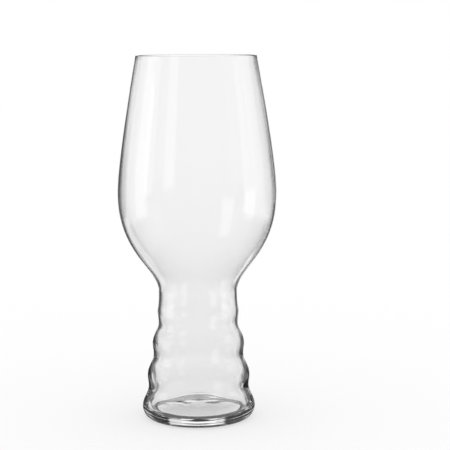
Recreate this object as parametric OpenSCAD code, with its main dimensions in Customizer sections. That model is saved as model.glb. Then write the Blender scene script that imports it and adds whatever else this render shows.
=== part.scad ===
// A tulip-shaped beer glass, blown in one piece. The bowl is widest below the
// middle and draws in to the rim. Under it a narrow waist runs into a hollow
// ribbed foot that flares to a flat standing ring.
// Sizes are in millimetres. The origin is the centre of the standing ring, on
// the table, and +Z runs up the axis of the glass.
// The outline is one stack of five heights, from the table up: foot edge, ribs,
// waist, swell and taper. Each can change without moving the sizes of the others.

/* [Rim] */
// Outer radius of the glass at the rim
rim_r = 31; // [27:0.5:35]
// Wall at the rim
rim_wall = 1; // [0.8:0.1:2]
// Radius of the two melted edges of the rim
rim_round = 0.3; // [0.1:0.05:0.35]
// Distance the bowl leans out for each millimetre below the rim
rim_lean_share = 0.18; // [0:0.01:0.3]
// Length below the rim over which the bowl keeps close to that lean
rim_run = 38; // [10:1:50]

/* [Bowl] */
// Outer radius at the widest place
belly_r = 41; // [36:0.5:46]
// Wall at the widest place
belly_wall = 1.2; // [1:0.1:2.5]
// Height from the widest place up to the rim
taper_h = 71; // [60:1:90]
// Length above the widest place over which the side stays nearly upright
belly_rise = 11; // [4:1:24]
// Height from the waist up to the widest place
swell_h = 50.4; // [42:0.2:64]
// Length below the widest place over which the side stays nearly upright
belly_drop = 31; // [16:1:36]

/* [Waist] */
// Outer radius at the narrowest place, between bowl and ribs
waist_r = 20.4; // [17:0.2:24]
// Wall at the narrowest place
waist_wall = 1.1; // [0.9:0.1:2.5]
// Height from the top rib up to the narrowest place
waist_h = 9.4; // [6:0.2:14]
// Length above the narrowest place over which the side stays nearly upright
waist_rise = 11.6; // [4:0.2:20]

/* [Ribs] */
// Number of ribs between the foot edge and the waist
rib_count = 3; // [1:1:5]
// Height of one rib
rib_pitch = 16.8; // [12:0.2:20]
// Depth of the groove below each rib, across the slope
rib_depth = 1.6; // [0.4:0.1:3]
// Outer radius at the crest of the top rib
rib_top_r = 21; // [18:0.2:25]

/* [Foot] */
// Outer radius at the foot edge, the lowest crest
foot_r = 29.4; // [26:0.2:34]
// Height of the rounded foot edge
foot_h = 6.8; // [4:0.2:9]
// Wall at the foot edge
foot_wall = 3.4; // [3:0.1:6]
// How the wall thickens down to the foot edge: 1 is evenly, more is mostly near it
foot_wall_power = 2.4; // [1.5:0.1:4]
// Outer radius of the flat ring that stands on the table
stand_r = 25; // [22:0.2:25.8]
// Width of that flat ring
stand_w = 1.5; // [1:0.1:5]
// Height of the flat-roofed hollow under the foot
punt_h = 2.5; // [1:0.1:3]
// Width of the rounded side of that hollow
punt_side_w = 1.2; // [0.8:0.1:8]
// Height of the flat floor inside the foot, above the table
floor_h = 4.6; // [4:0.1:8]
// Width of the rounded corner between floor and inner wall
floor_corner_w = 2.8; // [1:0.2:5]
// Height of that corner above the floor
floor_corner_h = 2.2; // [1:0.1:4]

/* [Hidden] */
$fn = 128;
glass_tint_shares = [0.90, 0.94, 0.95, 0.35];
// Straight pieces in each bent stretch of the outline, each rib and each rim edge
curve_steps = 14;
rib_steps = 12;
rim_steps = 5;
// Length of a Bezier handle, as a share of the radius, that draws a quarter round
quarter_share = 0.552;

// Heights above the table
rib_top_z = foot_h + rib_count * rib_pitch;
waist_z = rib_top_z + waist_h;
belly_z = waist_z + swell_h;
glass_h = belly_z + taper_h;
lip_z = glass_h - rim_round;
corner_z = floor_h + floor_corner_h;

// Narrowing of the ribbed foot for each millimetre of height
rib_lean = (foot_r - rib_top_r) / (rib_count * rib_pitch);

function mix(a, b, t) = a + (b - a) * t;

// Points of a cubic Bezier curve after its first one
function curve(p0, p1, p2, p3) = [
    for (i = [1 : curve_steps])
        let (t = i / curve_steps, s = 1 - t)
            s * s * s * p0 + 3 * s * s * t * p1 + 3 * s * t * t * p2 + t * t * t * p3
];

// Outer radius of the ribbed foot: a cone with one round wave for each rib
function rib_r(z) =
    foot_r - rib_lean * (z - foot_h)
    - rib_depth / 2 * (1 - cos(360 * (z - foot_h) / rib_pitch));

// Wall by height: thin and even in the bowl, swelling towards the foot
function wall(z) =
    z > belly_z ? mix(belly_wall, rim_wall, (z - belly_z) / taper_h)
    : z > waist_z ? mix(waist_wall, belly_wall, (z - waist_z) / swell_h)
    : mix(waist_wall, foot_wall, pow((waist_z - z) / (waist_z - foot_h), foot_wall_power));

function reversed(points) = [for (i = [len(points) - 1 : -1 : 0]) points[i]];

// Outside of the glass, from the standing ring up to the rim
foot_edge = curve(
    [stand_r, 0],
    [mix(stand_r, foot_r, quarter_share), 0],
    [foot_r + rib_lean * foot_h * quarter_share, foot_h * (1 - quarter_share)],
    [foot_r, foot_h]
);
ribs_outside = [
    for (i = [1 : rib_count * rib_steps])
        let (z = foot_h + i * rib_pitch / rib_steps)
            [rib_r(z), z]
];
waist_outside = curve(
    [rib_top_r, rib_top_z],
    [rib_top_r - rib_lean * waist_h / 3, rib_top_z + waist_h / 3],
    [waist_r, waist_z - waist_h / 3],
    [waist_r, waist_z]
);
swell_outside = curve(
    [waist_r, waist_z],
    [waist_r, waist_z + waist_rise],
    [belly_r, belly_z - belly_drop],
    [belly_r, belly_z]
);
taper_outside = curve(
    [belly_r, belly_z],
    [belly_r, belly_z + belly_rise],
    [rim_r + rim_lean_share * rim_run, lip_z - rim_run],
    [rim_r, lip_z]
);
bowl_outside = concat(waist_outside, swell_outside, taper_outside);

// Fire-polished rim: a cut edge melted round at both of its corners
function rim_corner(centre_r, start_angle) = [
    for (i = [0 : rim_steps])
        let (a = start_angle + 90 * i / rim_steps)
            [centre_r + rim_round * cos(a), lip_z + rim_round * sin(a)]
];
rim_outer_corner = rim_corner(rim_r - rim_round, 0);
rim_inner_corner = rim_corner(rim_r - rim_wall + rim_round, 90);

// Inside of the glass, from the rim down to the axis on the floor
bowl_inside = [
    for (p = reversed(bowl_outside))
        if (p.y < lip_z)
            [p.x - wall(p.y), p.y]
];
ribs_inside = [
    for (i = [rib_count * rib_steps : -1 : 0])
        let (z = mix(corner_z, rib_top_z, i / (rib_count * rib_steps)))
            [rib_r(z) - wall(z), z]
];
corner_r = rib_r(corner_z) - wall(corner_z);
floor_r = corner_r - floor_corner_w;
floor_corner = curve(
    [corner_r, corner_z],
    [corner_r, corner_z - floor_corner_h * quarter_share],
    [corner_r - floor_corner_w * (1 - quarter_share), floor_h],
    [floor_r, floor_h]
);

// Underside: the hollow from the axis out to the flat standing ring
punt_r = stand_r - stand_w;
punt_roof_r = punt_r - punt_side_w;
punt_side = curve(
    [punt_roof_r, punt_h],
    [mix(punt_roof_r, punt_r, quarter_share), punt_h],
    [punt_r, punt_h * quarter_share],
    [punt_r, 0]
);
underside = concat([[0, punt_h], [punt_roof_r, punt_h]], punt_side);

glass_outline = concat(
    underside,
    [[stand_r, 0]],
    foot_edge,
    ribs_outside,
    bowl_outside,
    [for (i = [1 : rim_steps]) rim_outer_corner[i]],
    rim_inner_corner,
    bowl_inside,
    ribs_inside,
    floor_corner,
    [[0, floor_h]]
);

// The whole glass: bowl, waist, ribbed foot and floor are one blown wall
module glass() {
    color(glass_tint_shares)
        rotate_extrude()
            polygon(glass_outline);
}

glass();
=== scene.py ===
import math

import bmesh
import bpy
from mathutils import Matrix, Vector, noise


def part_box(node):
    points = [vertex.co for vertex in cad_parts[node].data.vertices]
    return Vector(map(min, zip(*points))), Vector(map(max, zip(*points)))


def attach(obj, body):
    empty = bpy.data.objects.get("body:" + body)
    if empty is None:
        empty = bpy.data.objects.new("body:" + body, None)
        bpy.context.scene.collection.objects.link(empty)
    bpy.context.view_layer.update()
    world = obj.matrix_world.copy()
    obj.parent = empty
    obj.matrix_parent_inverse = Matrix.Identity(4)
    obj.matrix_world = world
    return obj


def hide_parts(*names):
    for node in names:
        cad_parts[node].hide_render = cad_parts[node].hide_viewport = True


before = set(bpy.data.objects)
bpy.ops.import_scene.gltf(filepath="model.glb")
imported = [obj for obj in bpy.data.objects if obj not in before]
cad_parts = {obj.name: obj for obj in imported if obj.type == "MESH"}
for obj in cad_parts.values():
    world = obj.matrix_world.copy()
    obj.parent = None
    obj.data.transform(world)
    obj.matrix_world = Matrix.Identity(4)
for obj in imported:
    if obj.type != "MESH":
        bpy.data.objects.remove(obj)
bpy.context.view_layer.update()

# Camera
# A long portrait lens stands a little above the rim and looks down on the foot, so the rim shows
# almost edge on and the foot shows its round floor. It is turned a touch to the right and leans by
# a third of a degree, as a camera on a tripod does.
photo_width = 450
focal_px = 1408.0
film_width = 36.0
camera_distance = 0.7218
camera_height = 0.1975
camera_tilt = math.radians(7.64)
camera_pan = math.radians(1.13)
camera_roll = math.radians(-0.31)

camera_data = bpy.data.cameras.new("portrait_lens")
camera_data.sensor_width = film_width
camera_data.lens = focal_px * film_width / photo_width
camera_data.clip_end = 100.0
camera = bpy.data.objects.new("camera", camera_data)
bpy.context.scene.collection.objects.link(camera)
camera.matrix_world = (
    Matrix.Translation((0.0, -camera_distance, camera_height))
    @ Matrix.Rotation(-camera_pan, 4, "Z")
    @ Matrix.Rotation(math.radians(90.0) - camera_tilt, 4, "X")
    @ Matrix.Rotation(camera_roll, 4, "Z")
)
bpy.context.scene.camera = camera

# Glass
# The whole glass is one wall of clear lead-free crystal: a gob blown out into a turning mould that
# shapes the tulip bowl, the waist and the round ribs of the hollow foot. The open end is then cut
# and melted back to a round lip, and the underside is pressed to a standing ring.
mm = 0.001
glass_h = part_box("glass")[1].z
rim_r = 31.0 * mm
rim_wall = 1.0 * mm
rim_round = 0.3 * mm
rim_lean = 0.18
rim_run = 38.0 * mm
belly_r = 41.0 * mm
belly_wall = 1.2 * mm
belly_rise = 11.0 * mm
belly_drop = 31.0 * mm
swell_h = 50.4 * mm
waist_r = 20.4 * mm
waist_wall = 1.1 * mm
waist_rise = 11.6 * mm
waist_h = 9.4 * mm
rib_count = 3
rib_pitch = 16.8 * mm
rib_depth = 1.6 * mm
rib_top_r = 21.0 * mm
foot_r = 29.4 * mm
foot_h = 6.8 * mm
foot_wall = 3.4 * mm
foot_wall_power = 2.4
stand_r = 25.0 * mm
stand_w = 1.5 * mm
punt_h = 2.5 * mm
punt_side_w = 1.2 * mm
floor_h = 4.6 * mm
floor_corner_w = 2.8 * mm
floor_corner_h = 2.2 * mm

rib_top_z = foot_h + rib_count * rib_pitch
waist_z = rib_top_z + waist_h
belly_z = waist_z + swell_h
taper_h = glass_h - belly_z
lip_z = glass_h - rim_round
corner_z = floor_h + floor_corner_h
rib_lean = (foot_r - rib_top_r) / (rib_count * rib_pitch)
quarter = 0.552
bend_steps = 40
rib_steps = 40
rim_steps = 6
turn_steps = 256


def mix(a, b, t):
    return a + (b - a) * t


def bend(p0, p1, p2, p3):
    """Points of a cubic Bezier bend after its first one."""
    points = []
    for i in range(1, bend_steps + 1):
        t = i / bend_steps
        s = 1 - t
        shares = (s * s * s, 3 * s * s * t, 3 * s * t * t, t * t * t)
        r = sum(k * p[0] for k, p in zip(shares, (p0, p1, p2, p3)))
        z = sum(k * p[1] for k, p in zip(shares, (p0, p1, p2, p3)))
        points.append((r, z))
    return points


def rib_r(z):
    """Outer radius of the ribbed foot: a cone with one round wave for each rib."""
    wave = 1 - math.cos(2 * math.pi * (z - foot_h) / rib_pitch)
    return foot_r - rib_lean * (z - foot_h) - rib_depth / 2 * wave


def wall(z):
    """Wall by height: thin and even in the bowl, swelling towards the foot."""
    if z > belly_z:
        return mix(belly_wall, rim_wall, (z - belly_z) / taper_h)
    if z > waist_z:
        return mix(waist_wall, belly_wall, (z - waist_z) / swell_h)
    return mix(waist_wall, foot_wall, ((waist_z - z) / (waist_z - foot_h)) ** foot_wall_power)


def rim_corner(centre_r, start):
    """A cut edge of the rim, melted round."""
    points = []
    for i in range(rim_steps + 1):
        a = start + math.pi / 2 * i / rim_steps
        points.append((centre_r + rim_round * math.cos(a), lip_z + rim_round * math.sin(a)))
    return points


foot_edge = bend(
    (stand_r, 0.0),
    (mix(stand_r, foot_r, quarter), 0.0),
    (foot_r + rib_lean * foot_h * quarter, foot_h * (1 - quarter)),
    (foot_r, foot_h),
)
ribs_outside = []
for i in range(1, rib_count * rib_steps + 1):
    z = foot_h + i * rib_pitch / rib_steps
    ribs_outside.append((rib_r(z), z))
waist_outside = bend(
    (rib_top_r, rib_top_z),
    (rib_top_r - rib_lean * waist_h / 3, rib_top_z + waist_h / 3),
    (waist_r, waist_z - waist_h / 3),
    (waist_r, waist_z),
)
swell_outside = bend(
    (waist_r, waist_z),
    (waist_r, waist_z + waist_rise),
    (belly_r, belly_z - belly_drop),
    (belly_r, belly_z),
)
taper_outside = bend(
    (belly_r, belly_z),
    (belly_r, belly_z + belly_rise),
    (rim_r + rim_lean * rim_run, lip_z - rim_run),
    (rim_r, lip_z),
)
bowl_outside = waist_outside + swell_outside + taper_outside

rim_outer_corner = rim_corner(rim_r - rim_round, 0.0)
rim_inner_corner = rim_corner(rim_r - rim_wall + rim_round, math.pi / 2)

bowl_inside = [(r - wall(z), z) for r, z in reversed(bowl_outside[:-1])]
ribs_inside = []
for i in range(rib_count * rib_steps, -1, -1):
    z = mix(corner_z, rib_top_z, i / (rib_count * rib_steps))
    ribs_inside.append((rib_r(z) - wall(z), z))
corner_r = rib_r(corner_z) - wall(corner_z)
floor_r = corner_r - floor_corner_w
floor_corner = bend(
    (corner_r, corner_z),
    (corner_r, corner_z - floor_corner_h * quarter),
    (corner_r - floor_corner_w * (1 - quarter), floor_h),
    (floor_r, floor_h),
)
floor_inside = [(floor_r * (1 - i / bend_steps), floor_h) for i in range(1, bend_steps + 1)]
punt_r = stand_r - stand_w
punt_roof_r = punt_r - punt_side_w
punt_side = bend(
    (punt_roof_r, punt_h),
    (mix(punt_roof_r, punt_r, quarter), punt_h),
    (punt_r, punt_h * quarter),
    (punt_r, 0.0),
)
underside = [(0.0, punt_h), (punt_roof_r, punt_h)] + punt_side

glass_outline = (
    underside
    + [(stand_r, 0.0)]
    + foot_edge
    + ribs_outside
    + bowl_outside
    + rim_outer_corner[1:]
    + rim_inner_corner
    + bowl_inside
    + ribs_inside
    + floor_corner
    + floor_inside
)


def lathe(name, outline):
    """A closed round mesh turned from an outline that starts and ends on the axis."""
    form = bmesh.new()
    first = form.verts.new((0.0, 0.0, outline[0][1]))
    last = form.verts.new((0.0, 0.0, outline[-1][1]))
    rings = []
    for r, z in outline[1:-1]:
        ring = []
        for i in range(turn_steps):
            a = 2 * math.pi * i / turn_steps
            ring.append(form.verts.new((r * math.cos(a), r * math.sin(a), z)))
        rings.append(ring)
    for i in range(turn_steps):
        j = (i + 1) % turn_steps
        form.faces.new((first, rings[0][j], rings[0][i]))
        form.faces.new((last, rings[-1][i], rings[-1][j]))
        for low, high in zip(rings, rings[1:]):
            form.faces.new((low[i], low[j], high[j], high[i]))
    for face in form.faces:
        face.smooth = True
    mesh = bpy.data.meshes.new(name)
    form.to_mesh(mesh)
    form.free()
    piece = bpy.data.objects.new(name, mesh)
    bpy.context.scene.collection.objects.link(piece)
    return piece


def linear(code):
    """Linear colour of an sRGB hex value."""
    shares = [int(code[i : i + 2], 16) / 255 for i in (1, 3, 5)]
    return [s / 12.92 if s <= 0.04045 else ((s + 0.055) / 1.055) ** 2.4 for s in shares] + [1.0]


def add_node(tree, kind, settings=None, links=None):
    """Adds a node; links maps each input to a value or to another node's output."""
    node = tree.nodes.new(kind)
    for key, value in (settings or {}).items():
        setattr(node, key, value)
    for key, value in (links or {}).items():
        if isinstance(value, bpy.types.NodeSocket):
            tree.links.new(value, node.inputs[key])
        else:
            node.inputs[key].default_value = value
    return node


# Lead-free crystal, clear all through and melted smooth. It takes its whole look from the painted
# studio that it bends and mirrors: painted highlights where it shows the painted white sheet behind
# it, painted dark edges where its thick edges turn the view aside to painted dark panels. A turning
# mould leaves slow swells in the wall that make reflections waver.
swell_pitch = 16 * mm
swell_depth = 0.05 * mm
crystal = bpy.data.materials.new("blown_lead_free_crystal")
crystal.use_nodes = True
tree = crystal.node_tree
tree.nodes.clear()
place = add_node(tree, "ShaderNodeTexCoord")
swells = add_node(tree, "ShaderNodeTexNoise", links={
    "Vector": place.outputs["Object"],
    "Scale": 1 / swell_pitch,
    "Detail": 1.0,
    "Roughness": 0.4,
})
blown = add_node(tree, "ShaderNodeBump", links={
    "Height": swells.outputs[0],
    "Strength": 1.0,
    "Distance": swell_depth,
})
# The standing ring is the only worn place. Tables grind it to fine scuffs, which turn that narrow
# band a little frosty. Real scuffs are finer, and are drawn this coarse so that they can show.
scuff_size = 0.4 * mm
scuffed_h = 0.02 * mm
unworn_h = 0.20 * mm
level = add_node(tree, "ShaderNodeSeparateXYZ", links={0: place.outputs["Object"]})
touching = add_node(tree, "ShaderNodeMapRange", links={
    "Value": level.outputs["Z"],
    "From Min": unworn_h,
    "From Max": scuffed_h,
})
scuffs = add_node(tree, "ShaderNodeTexNoise", links={
    "Vector": place.outputs["Object"],
    "Scale": 1 / scuff_size,
    "Detail": 3.0,
})
frosted = add_node(tree, "ShaderNodeMapRange", links={
    "Value": scuffs.outputs[0],
    "From Min": 0.45,
    "From Max": 0.70,
    "To Max": 0.35,
})
roughness = add_node(tree, "ShaderNodeMath", {"operation": "MULTIPLY"}, {
    0: touching.outputs[0],
    1: frosted.outputs[0],
})
skin = add_node(tree, "ShaderNodeBsdfPrincipled", links={
    "Base Color": linear("#FFFFFF"),
    "Transmission Weight": 1.0,
    "IOR": 1.52,
    "Roughness": roughness.outputs[0],
    "Normal": blown.outputs[0],
})
add_node(tree, "ShaderNodeOutputMaterial", links={"Surface": skin.outputs["BSDF"]})

glass = lathe("blown_glass", glass_outline)

# The floor cools last, under the weight of the gob, and sets with shallow ripples.
ripple_h = 0.12 * mm
ripple_run = 6.5 * mm
hair = 0.01 * mm
for vertex in glass.data.vertices:
    r = math.hypot(vertex.co.x, vertex.co.y)
    if r < floor_r and floor_h - hair < vertex.co.z < corner_z:
        fade = min(1.0, (floor_r - r) / ripple_run)
        vertex.co.z += ripple_h * fade * noise.noise(vertex.co / ripple_run)
glass.data.materials.append(crystal)
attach(glass, "root")
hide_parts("glass")

# Table top
# A wide matt white board, lit until it runs on into the white background without an edge. It takes
# the faint soft shadow of the glass, and where the glass mirrors or bends it, it gives way to the
# painted studio.
board_size = 6.0
lit_share = 0.6
board = bpy.data.meshes.new("table_top")
half = board_size / 2
board.from_pydata(
    [(-half, -half, 0.0), (half, -half, 0.0), (half, half, 0.0), (-half, half, 0.0)],
    [],
    [(0, 1, 2, 3)],
)
table_top = bpy.data.objects.new("table_top", board)
bpy.context.scene.collection.objects.link(table_top)


def seen_either_way(tree, direct, by_glass):
    """One shader for what is seen directly, another for what the glass mirrors or bends."""
    rays = add_node(tree, "ShaderNodeLightPath")
    mirrored = add_node(tree, "ShaderNodeMath", {"operation": "MAXIMUM"}, {
        0: rays.outputs["Is Glossy Ray"],
        1: rays.outputs["Is Transmission Ray"],
    })
    either = add_node(tree, "ShaderNodeMixShader", links={
        0: mirrored.outputs[0],
        1: direct.outputs[0],
        2: by_glass.outputs[0],
    })
    return either.outputs[0]


matt_board = bpy.data.materials.new("matt_white_board")
matt_board.use_nodes = True
tree = matt_board.node_tree
tree.nodes.clear()
paint = add_node(tree, "ShaderNodeBsdfDiffuse", links={"Color": linear("#FFFFFF")})
glow = add_node(tree, "ShaderNodeEmission", links={"Color": linear("#FFFFFF"), "Strength": 1.0})
lit = add_node(tree, "ShaderNodeMixShader", links={
    0: lit_share,
    1: paint.outputs[0],
    2: glow.outputs[0],
})
# Glass rays pass through the board to the painted reflection below the horizon.
through = add_node(tree, "ShaderNodeBsdfTransparent")
seen = seen_either_way(tree, lit, through)
add_node(tree, "ShaderNodeOutputMaterial", links={"Surface": seen})
board.materials.append(matt_board)

# Studio
# A painted reflection of a dim studio, which only the glass mirrors and bends; the camera and every
# lit surface see a plain white world. A painted white sheet behind the glass, painted soft boxes at
# its sides and painted dark gaps between them give the glass painted highlights and painted dark
# edges.
# Directions are in degrees from the glass: clockwise from straight behind it, and up from the
# horizon.
world = bpy.data.worlds.new("studio")
bpy.context.scene.world = world
world.use_nodes = True
tree = world.node_tree
tree.nodes.clear()
place = add_node(tree, "ShaderNodeTexCoord")
axes = add_node(tree, "ShaderNodeSeparateXYZ", links={0: place.outputs["Generated"]})
bearing = add_node(tree, "ShaderNodeMath", {"operation": "ARCTAN2"}, {
    0: axes.outputs["X"],
    1: axes.outputs["Y"],
})
rise = add_node(tree, "ShaderNodeMath", {"operation": "ARCSINE"}, {0: axes.outputs["Z"]})


def reach(angle, middle, half_width, soft):
    """1 within an angle either side of the middle, 0 beyond it, with a soft edge."""
    offset = add_node(tree, "ShaderNodeMath", {"operation": "SUBTRACT"}, {
        0: angle,
        1: math.radians(middle),
    })
    apart = add_node(tree, "ShaderNodeMath", {"operation": "ABSOLUTE"}, {0: offset.outputs[0]})
    inside = add_node(tree, "ShaderNodeMapRange", {"interpolation_type": "SMOOTHSTEP"}, {
        "Value": apart.outputs[0],
        "From Min": math.radians(half_width + soft / 2),
        "From Max": math.radians(half_width - soft / 2),
    })
    return inside.outputs[0]


def paint_reflected_panel(light, middle, half_width, low, high, soft, level):
    """The painted reflection with one more soft-edged panel painted in front of what is there."""
    turned = add_node(tree, "ShaderNodeMath", {"operation": "WRAP"}, {
        0: bearing.outputs[0],
        1: math.radians(middle + 180.0),
        2: math.radians(middle - 180.0),
    })
    across = reach(turned.outputs[0], middle, half_width, soft)
    upright = reach(rise.outputs[0], (low + high) / 2, (high - low) / 2, soft)
    shape = add_node(tree, "ShaderNodeMath", {"operation": "MULTIPLY"}, {0: across, 1: upright})
    hung = add_node(tree, "ShaderNodeMix", links={0: shape.outputs[0], 2: light, 3: level})
    return hung.outputs[0]


# Each row is a panel: middle, half width, low and high edge, softness of the edges, brightness. A
# later row hangs in front of the rows before it. Every row is painted reflection only: the soft
# boxes, strip lights, reflectors and white sheets are painted highlights, and the floor, walls,
# cards, flags and curtains are painted shade that darkens the edges of the glass.
panels = (
    (0, 200, -100, -24, 5, 0.15),  # grey floor round the table
    (0, 200, 14, 100, 6, 0.05),  # dark walls above the lamps
    (0, 200, 51, 100, 11, 0.10),  # ceiling
    (180, 60, -100, -17, 8, 0.20),  # floor in front, lit from the room
    (180, 73, 5, 14, 7, 0.05),  # black card over the camera
    (-95, 30, -44, -8, 7, 0.35),  # table on the left
    (90, 36, -52, -10, 7, 0.30),  # table on the right
    (-78, 26, -19, 12, 4, 0.50),  # left soft box
    (-90, 12, -18, 13, 2, 0.90),  # its bright middle
    (65, 23, -16, 12, 2, 0.55),  # right soft box
    (97, 10, -20, -1, 4, 0.75),  # its bright far end
    (-42, 17, 1, 8, 9, 0.85),  # strip light, back left
    (39, 10, 0, 4, 1, 0.50),  # strip light, back right
    (-28, 12, 5, 14, 3, 0.05),  # black flag over the left strip
    (32, 15, 6, 17, 3, 0.0),  # black flag over the right strip
    (-37, 7, -37, -30, 2, 1.0),  # reflector on the table, left
    (34, 8, -35, -29, 4, 1.15),  # reflector on the table, right
    (-9, 4, -19, -1, 7, 1.15),  # lit left edge of the sheet
    (13, 5, -22, -4, 7, 0.95),  # lit right edge of the sheet
    (27, 1.5, -8, 3, 2, 0.70),  # slit between the sheet and the right box
    (0, 27, 25, 50, 6, 0.0),  # dark wall over the sheet
    (-16, 5, 4, 24, 5, 0.10),  # left curtain
    (15, 8, -1, 32, 8, 0.35),  # right curtain
    (0, 14, -44, -13, 4, 0.90),  # white table top under the sheet
    (-13, 6, 3, 17, 4, 0.90),  # left wing of the sheet
    (17, 6, 3, 17, 2, 0.90),  # right wing of the sheet
    (0, 12, -12, 12, 2, 1.05),  # white sheet behind the glass
    (-2, 12, -16, -8, 6, 0.95),  # its lower edge, where it bends to the table
    (-45, 9, -42, -14, 4, 0.85),  # second white sheet, low on the left
    (135, 9, -40, -4, 6, 0.85),  # third white sheet, beside the camera
)
# Away from every panel the painted reflection is dim: painted shade.
painted_dim_room = 0.10
light = painted_dim_room
for row in panels:
    light = paint_reflected_panel(light, *row)

# The camera and lit surfaces see plain white. Glossy and transmission rays see the painted studio,
# so the glass shows painted highlights and painted dark edges.
plain = add_node(tree, "ShaderNodeBackground", links={"Color": linear("#FFFFFF"), "Strength": 1.0})
painted_reflections = add_node(tree, "ShaderNodeBackground", links={"Color": linear("#FFFFFF"), "Strength": light})
seen = seen_either_way(tree, plain, painted_reflections)
add_node(tree, "ShaderNodeOutputWorld", links={"Surface": seen})

bpy.context.scene.view_settings.view_transform = "Standard"
